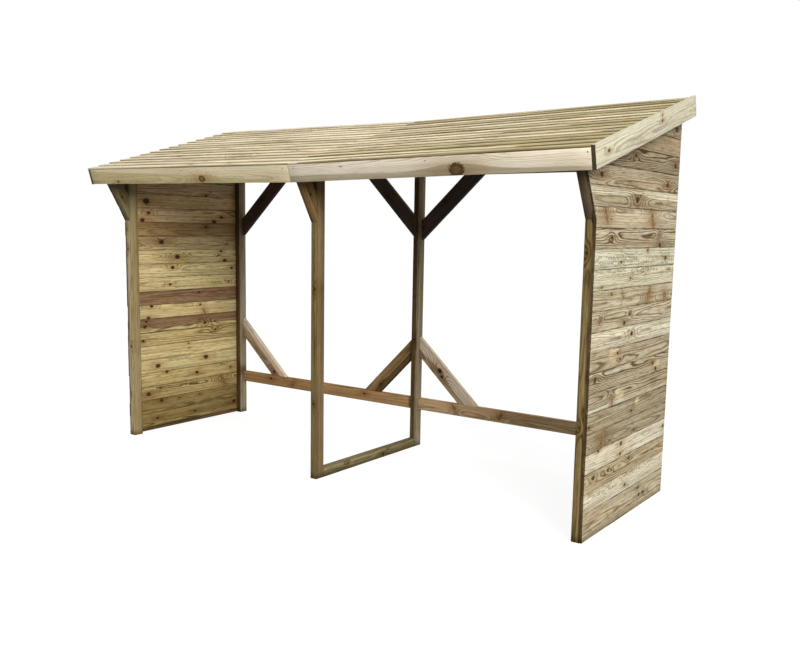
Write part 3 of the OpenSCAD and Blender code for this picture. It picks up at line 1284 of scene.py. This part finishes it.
@dataclass(frozen=True)
class Viewpoint:
    """The photograph's viewpoint, fitted to the store's built sizes."""

    stand: tuple[float, float, float] = (3.2508, -4.0982, 1.453)
    yaw: float = -36.685
    pitch: float = -7.717
    roll: float = -0.853
    focal: float = 868.83
    centre: tuple[float, float] = (384.01, 344.55)
    sensor: float = 36.0
    sight: float = 200.0

    def build(self) -> bpy.types.Object:
        """Set up the camera.

        Returns:
            The scene's camera.
        """
        yaw = math.radians(self.yaw)
        pitch = math.radians(self.pitch)
        ahead = Vector((math.sin(yaw) * math.cos(pitch), math.cos(yaw) * math.cos(pitch), math.sin(pitch)))
        level = ahead.cross(UPWARD).normalized()
        fall = ahead.cross(level)
        turn = math.radians(self.roll)
        right = level * math.cos(turn) + fall * math.sin(turn)
        down = fall * math.cos(turn) - level * math.sin(turn)
        data = bpy.data.cameras.new("photograph_view")
        data.sensor_width = self.sensor
        data.sensor_fit = "HORIZONTAL"
        data.lens = self.focal / IMAGE_WIDTH * self.sensor
        data.shift_x = (IMAGE_WIDTH / 2.0 - self.centre[0]) / IMAGE_WIDTH
        data.shift_y = (self.centre[1] - IMAGE_HEIGHT / 2.0) / IMAGE_WIDTH
        data.clip_end = self.sight
        camera = bpy.data.objects.new("photograph_view", data)
        turned = Matrix((right, -down, -ahead)).transposed().to_4x4()
        camera.matrix_world = Matrix.Translation(Vector(self.stand)) @ turned
        bpy.context.scene.collection.objects.link(camera)
        bpy.context.scene.camera = camera
        return camera


@dataclass(frozen=True)
class SoftLight:
    """A large soft studio lamp."""

    name: str
    stand: tuple[float, float, float]
    aim: tuple[float, float, float]
    size: float
    power: float
    tint: tuple[float, float, float]

    def build(self) -> bpy.types.Object:
        """Hang the lamp.

        Returns:
            The lamp.
        """
        data = bpy.data.lights.new(self.name, "AREA")
        data.shape = "DISK"
        data.size = self.size
        data.energy = self.power
        data.color = self.tint
        lamp = bpy.data.objects.new(self.name, data)
        lamp.location = self.stand
        way = Vector(self.aim) - Vector(self.stand)
        lamp.rotation_euler = way.to_track_quat("-Z", "Y").to_euler()
        bpy.context.scene.collection.objects.link(lamp)
        return lamp


@dataclass(frozen=True)
class Studio:
    """A pale floor that meets a white surround, under soft light."""

    floor_half: float = 60.0
    floor_tone: float = 0.16
    floor_lift: float = 0.88
    sky_tint: Colour = (1.0, 0.995, 0.98, 1.0)
    sky_high: float = 1.0
    sky_low: float = 0.23
    sky_rise: tuple[float, float] = (0.02, 0.72)
    back_glow: float = 0.95
    back_reach: tuple[float, float] = (-0.10, 0.75)
    back_rise: tuple[float, float] = (0.10, 0.60)
    key: SoftLight = SoftLight("key_light", stand=(9.6, -6.9, 5.4), aim=(0.0, 0.0, 0.9), size=6.0,
                               power=1780.0, tint=(1.0, 0.985, 0.955))

    def build(self) -> None:
        """Lay the floor, light the surround and set the view transform."""
        self.floor()
        self.surround()
        self.key.build()
        bpy.context.scene.view_settings.view_transform = "Standard"

    def seen(self, bench: Bench) -> Socket:
        """One for rays that show the surround itself: from the camera, or by reflection or glass."""
        path = bench.add("ShaderNodeLightPath")
        rays = ("Is Camera Ray", "Is Glossy Ray", "Is Transmission Ray")
        return bench.total(tuple(path.outputs[name] for name in rays), "MAXIMUM")

    def floor(self) -> None:
        """Lay the floor, which shows white with the store's shadow on it."""
        half = self.floor_half
        mesh = bpy.data.meshes.new("studio_floor")
        corners = [(-half, -half, 0.0), (half, -half, 0.0), (half, half, 0.0), (-half, half, 0.0)]
        mesh.from_pydata(corners, [], [(0, 1, 2, 3)])
        material = bpy.data.materials.new("pale_floor")
        material.use_nodes = True
        bench = Bench(material.node_tree)
        tone = (self.floor_tone, self.floor_tone, self.floor_tone, 1.0)
        matt = bench.add("ShaderNodeBsdfDiffuse", {"Color": tone})
        lift = bench.add("ShaderNodeEmission", {"Strength": bench.times(self.seen(bench), self.floor_lift)})
        bench.show(bench.add("ShaderNodeAddShader", {0: matt.outputs[0], 1: lift.outputs[0]}))
        mesh.materials.append(material)
        ground = bpy.data.objects.new("studio_floor", mesh)
        bpy.context.scene.collection.objects.link(ground)

    def surround(self) -> None:
        """Light the store from all round, brighter from above, and show white behind it."""
        world = bpy.data.worlds.new("studio_surround")
        world.use_nodes = True
        bpy.context.scene.world = world
        bench = Bench(world.node_tree)
        _, back, rise = bench.split(bench.add("ShaderNodeTexCoord").outputs["Generated"])
        high = bench.ease(rise, *self.sky_rise, self.sky_low, self.sky_high)
        behind = bench.ease(back, *self.back_reach, 0.0, self.back_glow)
        level = bench.times(behind, bench.ease(rise, *self.back_rise, 1.0, 0.0), high)
        glow = bench.add("ShaderNodeBackground", {"Color": self.sky_tint, "Strength": level})
        white = bench.add("ShaderNodeBackground", {"Color": (1.0, 1.0, 1.0, 1.0), "Strength": 1.0})
        shown = {0: self.seen(bench), 1: glow.outputs[0], 2: white.outputs[0]}
        bench.show(bench.add("ShaderNodeMixShader", shown), "ShaderNodeOutputWorld")


RIGHT_WALL = (
    Look(Tone.TAN, (), 0.9),
    Look(Tone.TAN, ((0.70, 0.018, 0.010), (0.72, -0.024, 0.010), (0.78, -0.024, 0.012)), 0.9),
    Look(Tone.CREAM, ((0.51, -0.017, 0.010),), 0.8, ripple=1.1),
    Look(Tone.ORANGE_TAN, ((0.10, 0.015, 0.011), (0.28, 0.015, 0.007), (0.32, 0.008, 0.006),
                           (0.545, 0.022, 0.010)), 1.0),
    Look(Tone.CREAM, ((0.43, 0.026, 0.012), (0.147, 0.042, 0.008), (0.425, -0.026, 0.009),
                      (1.04, 0.007, 0.010)), 0.5),
    Look(Tone.BROWN, ((0.28, -0.024, 0.006), (0.186, 0.004, -0.024), (0.60, -0.030, 0.008)), 0.8),
    Look(Tone.BROWN, ((0.545, -0.017, 0.009), (0.024, -0.014, 0.008)), 0.8, pale=(0.62, 0.028, 0.020)),
    Look(Tone.CREAM, ((0.28, -0.020, -0.011),), 1.2, heart=Tone.GREY_BROWN, heart_edge=-0.028,
         heart_below=False, pale=(0.375, -0.002, 0.038)),
    Look(Tone.PINK_TAN, ((0.07, 0.018, 0.012), (0.82, 0.008, 0.010), (0.868, -0.027, 0.013)), 1.7,
         pale=(0.885, -0.004, 0.027)),
    Look(Tone.PINK_TAN, ((0.326, 0.020, 0.008), (0.36, -0.014, 0.007)), 1.0, pale=(0.28, 0.022, 0.040)),
    Look(Tone.CREAM, ((0.495, 0.004, 0.013),), 0.8),
    Look(Tone.TAN, ((0.39, -0.030, 0.013), (0.094, 0.000, -0.008), (0.46, 0.011, 0.009)), 1.1),
    Look(Tone.TAN, ((0.945, -0.018, -0.014), (0.70, -0.006, -0.020), (0.354, 0.017, -0.009),
                    (0.214, 0.024, 0.007)), 0.9),
    Look(Tone.GREEN_CREAM, ((0.44, -0.003, 0.007), (0.094, -0.034, 0.006), (0.99, 0.025, 0.006)), 1.0,
         ripple=1.2),
    Look(Tone.GREEN_CREAM, ((0.312, -0.018, 0.008), (0.924, -0.008, 0.012), (0.657, 0.034, 0.009)), 0.9,
         ripple=1.0),
    Look(Tone.PINK_TAN, ((0.186, 0.004, 0.011), (0.81, 0.016, -0.010), (0.826, -0.036, 0.015)), 1.3),
    Look(Tone.TAN, ((0.108, 0.014, -0.020), (0.165, -0.008, 0.005), (0.706, -0.007, -0.026)), 0.8),
    Look(Tone.CREAM, ((0.481, -0.004, 0.019),), 0.9, heart=Tone.BROWN, heart_edge=0.010),
    Look(Tone.GREY_BROWN, ((0.896, -0.010, 0.016), (0.038, 0.000, 0.015)), 1.2),
    Look(Tone.GREY_UMBER, ((0.43, 0.014, 0.012), (1.00, 0.000, 0.016)), 1.3),
    Look(Tone.RED_BROWN, (), 0.5),
    Look(Tone.BROWN, ((0.99, 0.000, 0.016),), 1.0),
    Look(Tone.BROWN, (), 1.0),
)

# Tones of the left end's inner faces, matched under the light inside the store; their outer faces take the
# right end's tones.
LEFT_WALL = (
    Look(Tone.DARK_BROWN),
    Look(Tone.OLIVE_BROWN, ((0.231, 0.004, 0.011), (0.575, 0.001, 0.011), (0.969, 0.014, 0.016)), 1.1),
    Look(Tone.OLIVE_BROWN, ((0.269, 0.030, 0.015), (0.625, 0.024, 0.007), (0.43, 0.024, 0.006)), 1.2),
    Look(Tone.YELLOW_OLIVE, ((0.856, 0.006, -0.022), (0.156, -0.005, 0.016)), 1.3, ripple=0.3),
    Look(Tone.YELLOW_OLIVE, ((0.322, 0.039, 0.011), (0.60, 0.002, 0.014), (0.938, 0.002, 0.009)), 0.9,
         ripple=0.6),
    Look(Tone.YELLOW, ((0.244, -0.004, 0.017), (0.69, 0.012, 0.018)), 0.5, ripple=0.4),
    Look(Tone.YELLOW, ((0.525, 0.036, 0.006), (0.53, 0.000, 0.005)), 0.7),
    Look(Tone.YELLOW_OLIVE, ((0.119, -0.006, 0.010), (0.785, 0.021, 0.009)), 1.1),
    Look(Tone.YELLOW_OLIVE, ((0.65, 0.002, -0.009), (0.138, -0.005, 0.014), (0.15, 0.032, 0.009),
                             (0.685, -0.016, 0.012)), 0.9,
         heart=Tone.DARK_RED, heart_edge=-0.022, heart_below=False),
    Look(Tone.YELLOW, ((0.198, 0.040, 0.012), (0.64, 0.026, 0.009), (0.68, -0.026, -0.010),
                       (0.169, -0.039, 0.012)), 0.6),
    Look(Tone.DARK_RED, ((0.63, 0.022, 0.007),), 1.0),
    Look(Tone.YELLOW, ((0.365, -0.005, 0.009), (0.925, -0.005, 0.008)), 0.9, ripple=0.5),
    Look(Tone.YELLOW, ((0.39, 0.018, 0.012), (0.956, 0.000, 0.012)), 0.7, ripple=0.4),
    Look(Tone.YELLOW, ((0.434, -0.002, 0.018), (0.85, 0.032, 0.010), (0.888, -0.038, 0.016),
                       (0.825, 0.000, 0.006)), 0.9),
    Look(Tone.LION, ((0.294, 0.008, 0.019),), 1.0, ripple=0.5),
    Look(Tone.YELLOW_BROWN, ((0.706, 0.019, 0.012),), 0.9),
    # These top rows take lighter tones (AMBER, AMBER, WARM_TAN) as painted light against the shade under the
    # roof.
    Look(Tone.AMBER, ((0.19, 0.017, 0.011), (0.135, -0.033, 0.016), (0.785, -0.039, 0.017),
                      (0.86, -0.004, 0.012)), 0.9),
    Look(Tone.AMBER, ((0.171, 0.000, 0.023),), 0.9),
    Look(Tone.WARM_TAN, ((0.71, -0.042, 0.012),), 0.9),
    Look(Tone.TAN, (), 0.8),
    Look(Tone.OLIVE, ((0.40, 0.000, 0.010),), 0.9),
    Look(Tone.BROWN, (), 0.8),
    Look(Tone.BROWN, (), 0.8),
)

FASCIA = {
    Side.LEFT: Look(Tone.PALE_STRAW, ((1.05, -0.022, 0.020), (0.265, -0.034, 0.007)), 0.8, heart=Tone.STRAW,
                    heart_edge=0.034, heart_climb=-0.044, ripple=0.5, tan_knots=0.85),
    Side.RIGHT: Look(Tone.PALE_CREAM, ((1.05, -0.020, 0.033), (0.36, 0.020, 0.003)), 1.0, heart=Tone.TAN,
                     heart_edge=-0.014, heart_climb=-0.009, ripple=0.2, tan_knots=0.3),
}
BARGE = {
    Side.LEFT: Look(Tone.GREY_CREAM, ((0.42, 0.010, 0.010), (1.02, -0.010, 0.009)), 1.0, ripple=0.3),
    Side.RIGHT: Look(Tone.GREY_CREAM, ((0.138, 0.000, 0.009), (0.797, 0.036, -0.005), (0.796, 0.012, 0.009)),
                     1.0, ripple=0.3),
}


@dataclass(frozen=True)
class RoofStock:
    """The boards that one half of the roof is chosen from, with the range of each chance."""

    side: Side
    tones: tuple[Tone, ...]
    hearts: tuple[Tone, ...]
    heart_edge: float
    heart_climb: float
    rows: int = 15
    knot_count: tuple[int, int] = (2, 4)
    knot_along: tuple[float, float] = (0.1, 1.65)
    knot_across: tuple[float, float] = (-0.03, 0.03)
    knot_radius: tuple[float, float] = (0.005, 0.014)
    figures: tuple[float, float] = (0.7, 1.4)
    edge_shift: tuple[float, float] = (-0.02, 0.02)
    climb_share: tuple[float, float] = (0.6, 1.4)

    def looks(self) -> tuple[Look, ...]:
        """Choose the boards' looks.

        Returns:
            One look for each row, from the eaves up.
        """
        rng = random.Random(f"roof {self.side.name}")
        looks = []
        for row in range(self.rows):
            spots = (self.knot_along, self.knot_across, self.knot_radius)
            knots = tuple(tuple(rng.uniform(*reach) for reach in spots)
                          for _ in range(rng.randint(*self.knot_count)))
            tone = Tone.BRIGHT_STRAW if row == 0 else rng.choice(self.tones)
            way = rng.choice((-1.0, 1.0))
            figure = rng.uniform(*self.figures)
            heart = rng.choice(self.hearts)
            edge = (self.heart_edge + rng.uniform(*self.edge_shift)) * way
            climb = self.heart_climb * rng.uniform(*self.climb_share) * way
            looks.append(Look(tone, knots, figure, heart, edge, climb, way > 0.0))
        return tuple(looks)


LEFT_ROOF = RoofStock(Side.LEFT, (Tone.BRIGHT_STRAW, Tone.BRIGHT_STRAW, Tone.BRIGHT_STRAW, Tone.PALE_STRAW),
                      (Tone.PALE_STRAW, Tone.STRAW), heart_edge=-0.045, heart_climb=-0.02)
# The right half's darker second tones take over towards its right end: painted shade, for the lap shadows
# that darken that end.
RIGHT_ROOF = RoofStock(Side.RIGHT, (Tone.BRIGHT_STRAW, Tone.BRIGHT_STRAW, Tone.PALE_STRAW),
                       (Tone.OLIVE_STRAW, Tone.OLIVE_GREY, Tone.OLIVE_GREY), heart_edge=-0.042,
                       heart_climb=0.066)


@dataclass
class OpenFrame:
    """Posts, rafters, knee braces and the foot rail of the three frames."""

    frames: tuple[str, ...] = ("left", "centre", "right")
    # On the posts the second tone is painted light and shade: it gives the front faces and the side faces
    # different tones, and paints the dark shaded strip down the right front post's right edge.
    post_look: dict[str, Look] = field(default_factory=lambda: {
        "left_front_post": Look(Tone.OLIVE, ((0.62, 0.008, 0.008), (1.28, -0.006, 0.007)), 1.2,
                                heart=Tone.ORANGE_TAN, heart_edge=0.019),
        "centre_front_post": Look(Tone.DARK_BROWN, ((0.44, 0.000, 0.008), (1.10, 0.006, 0.009)), 1.1,
                                  heart=Tone.DEEP_OLIVE, heart_edge=0.019),
        "right_front_post": Look(Tone.DEEP_OLIVE, ((0.55, -0.004, 0.007), (1.35, -0.008, 0.009)), 1.4,
                                 heart=Tone.DARK_UMBER, heart_edge=0.012, heart_below=False),
        "left_back_post": Look(Tone.BROWN, ((0.33, 0.005, 0.010), (0.95, -0.006, 0.008)), 1.4,
                               heart=Tone.DARK_UMBER, heart_edge=0.019),
        "centre_back_post": Look(Tone.BROWN, ((0.72, 0.004, 0.010), (1.45, 0.006, 0.008)), 1.0,
                                 heart=Tone.DARK_UMBER, heart_edge=0.012),
        "right_back_post": Look(Tone.DEEP_OLIVE, ((0.80, 0.004, 0.009),), 0.9),
    })
    knee_tone: dict[str, Tone] = field(default_factory=lambda: {
        "left": Tone.MOSS, "centre": Tone.RUSSET, "right": Tone.SLATE_BROWN})
    rafter_look: Look = Look(Tone.OLIVE, ((0.35, 0.010, 0.009), (0.90, -0.010, 0.008)), 0.9)
    foot_rail_look: Look = Look(Tone.MOSS, ((0.58, -0.006, 0.010), (0.22, 0.010, 0.006)), 1.1)

    def build(self) -> Pieces:
        """Build every timber of the frame.

        Returns:
            The finished pieces.
        """
        timbers = [(node, look, TO_BACK) for node, look in self.post_look.items()]
        for name in self.frames:
            timbers.append((f"{name}_rafter", self.rafter_look, ALONG_STORE))
            knee = Look(self.knee_tone[name], ((0.16, 0.012, 0.009),), 1.0)
            timbers.append((f"{name}_knee_brace", knee, ALONG_STORE))
        timbers.append(("centre_foot_rail", self.foot_rail_look, ALONG_STORE))
        return [FramedTimber(node, look, through, SAWN_FRAME, "frame_timber").build()
                for node, look, through in timbers]


@dataclass
class BackBracing:
    """The level rails and slanting braces across the back of the two bays."""

    rail_look: dict[str, Look] = field(default_factory=lambda: {
        "left_lower": Look(Tone.RUST, ((0.30, 0.012, 0.010), (0.52, -0.010, -0.009), (1.20, 0.010, 0.009)),
                           1.0),
        # The right lower rail's lighter AMBER second tone takes over towards its right end: painted light
        # against the shadow that the right end wall throws there.
        "right_lower": Look(Tone.CLAY, ((0.28, 0.010, -0.010), (0.62, 0.000, -0.012), (1.45, 0.010, 0.009)),
                            1.0, heart=Tone.AMBER, heart_edge=-0.100, heart_climb=0.12),
        "left_upper": Look(Tone.YELLOW_BROWN, ((0.44, 0.000, 0.011), (1.02, 0.012, 0.010)), 0.9),
        "right_upper": Look(Tone.YELLOW_BROWN, ((0.52, 0.004, 0.010), (1.16, -0.010, 0.011)), 0.9),
    })
    brace_look: dict[str, Look] = field(default_factory=lambda: {
        "left_bay_lower_left": Look(Tone.PINK_CREAM, ((0.50, -0.012, 0.012),), 1.1,
                                    heart=Tone.PINK_BROWN, heart_edge=0.010),
        "left_bay_lower_right": Look(Tone.RUSSET, ((0.14, -0.010, 0.009),), 1.1,
                                     heart=Tone.DARK_UMBER, heart_edge=-0.012),
        "right_bay_lower_left": Look(Tone.PINK_CREAM, ((0.26, 0.004, 0.017), (0.30, -0.012, 0.010),
                                                       (0.66, -0.004, 0.010)), 1.2,
                                     heart=Tone.PINK_BROWN, heart_edge=-0.012),
        "right_bay_lower_right": Look(Tone.PINK_CREAM, ((0.20, 0.010, 0.010),), 1.0,
                                      heart=Tone.PINK_BROWN, heart_edge=0.006),
        # The upper braces take a near-black tone as painted shade: they stand deep under the back of the
        # roof.
        "left_bay_upper_left": Look(Tone.COAL_BROWN, ((0.33, 0.008, 0.010),), 1.0),
        "left_bay_upper_right": Look(Tone.COAL_BROWN, ((0.22, -0.010, 0.011),), 1.0),
        "right_bay_upper_left": Look(Tone.COAL_BROWN, ((0.30, 0.012, 0.009),), 1.0),
        "right_bay_upper_right": Look(Tone.COAL_BROWN, ((0.18, 0.006, 0.010),), 1.0),
    })

    def build(self) -> Pieces:
        """Build every rail and brace.

        Returns:
            The finished pieces.
        """
        looks = {f"{place}_rail": look for place, look in self.rail_look.items()}
        looks |= {f"{place}_brace": look for place, look in self.brace_look.items()}
        return [FramedTimber(node, look, -TO_BACK, SAWN_BACK, "back_timber").build()
                for node, look in looks.items()]


@dataclass
class EdgeBoards:
    """The fascia along the eaves and the barge boards up the two ends of the roof."""

    eased: float = 0.0016

    def build(self) -> Pieces:
        """Build both fascia lengths and both barge boards.

        Returns:
            The finished pieces.
        """
        pieces = []
        for side in Side:
            for part, look, finish, through in (
                ("fascia", FASCIA[side], PLANED_FASCIA, -TO_BACK),
                ("barge_board", BARGE[side], PLANED_BARGE, ALONG_STORE),
            ):
                pieces.append(FramedTimber(side.node(part), look, through, finish, part, self.eased).build())
        return pieces


@dataclass
class FasciaNails:
    """The nail heads along the fascia, a little under its upper edge."""

    places: tuple[float, ...] = (0.035, 0.88, 1.70)
    under: float = 0.018
    radius: float = 0.0034
    proud: float = 0.0006
    corners: int = 12
    dome: tuple[tuple[float, float], ...] = ((1.0, -0.3), (1.0, 0.4), (0.75, 0.9))

    def build(self) -> Pieces:
        """Make every head in one piece.

        Returns:
            The finished piece.
        """
        points: list[Vector] = []
        faces: list[tuple[int, ...]] = []
        for side in Side:
            shape = solid_of(side.node("fascia"))
            face = min(shape.faces, key=lambda item: item.normal.y)
            out = face.normal.copy()
            run = longest_run(shape)
            rise = out.cross(run) * math.copysign(1.0, out.cross(run).z)
            corner = min((vertex.co for vertex in face.verts), key=lambda point: point.dot(run - rise))
            for place in self.places:
                self.head(corner + run * place - rise * self.under, run, rise, out, points, faces)
            shape.free()
        mesh = bpy.data.meshes.new("fascia_nail_heads")
        mesh.from_pydata(points, [], faces)
        mesh.materials.append(NAIL_STEEL.material())
        return [seat(bpy.data.objects.new("fascia_nail_heads", mesh), "fascia")]

    def head(self, centre: Vector, run: Vector, rise: Vector, out: Vector, points: list[Vector],
             faces: list[tuple[int, ...]]) -> None:
        """Add one low domed head.

        Args:
            centre: Its middle, on the face of the board.
            run: The way along the board.
            rise: The way up the board.
            out: The way out of the board.
            points: The piece's points, which it adds to.
            faces: The piece's faces, which it adds to.
        """
        first = len(points)
        count = self.corners
        for share, height in self.dome:
            for number in range(count):
                turn = 2.0 * math.pi * number / count
                spread = (run * math.cos(turn) + rise * math.sin(turn)) * self.radius * share
                points.append(centre + spread + out * self.proud * height)
        points.append(centre + out * self.proud)
        crown = len(self.dome) - 1
        for ring in range(crown + 1):
            start = first + ring * count
            for number in range(count):
                low = start + number
                after = start + (number + 1) % count
                if ring < crown:
                    faces.append((low, after, after + count, low + count))
                else:
                    faces.append((low, after, start + count))
        faces.append(tuple(first + number for number in reversed(range(count))))


def main() -> None:
    """Build the store, its studio and its camera."""
    logging.basicConfig(level=logging.INFO, format="%(name)s: %(message)s")
    Viewpoint().build()
    Studio().build()
    for assembly in (
        OpenFrame(),
        BackBracing(),
        BoardedWall(Side.LEFT, LEFT_WALL, cover=0.0956, first_joint=0.026),
        BoardedWall(Side.RIGHT, RIGHT_WALL, cover=0.0947, first_joint=0.042),
        RoofHalf(Side.LEFT, LEFT_ROOF.looks()),
        RoofHalf(Side.RIGHT, RIGHT_ROOF.looks()),
        EdgeBoards(),
        FasciaNails(),
    ):
        for piece in assembly.build():
            LOG.info("%s: %d faces", piece.name, len(piece.data.polygons))


if __name__ == "__main__":
    main()
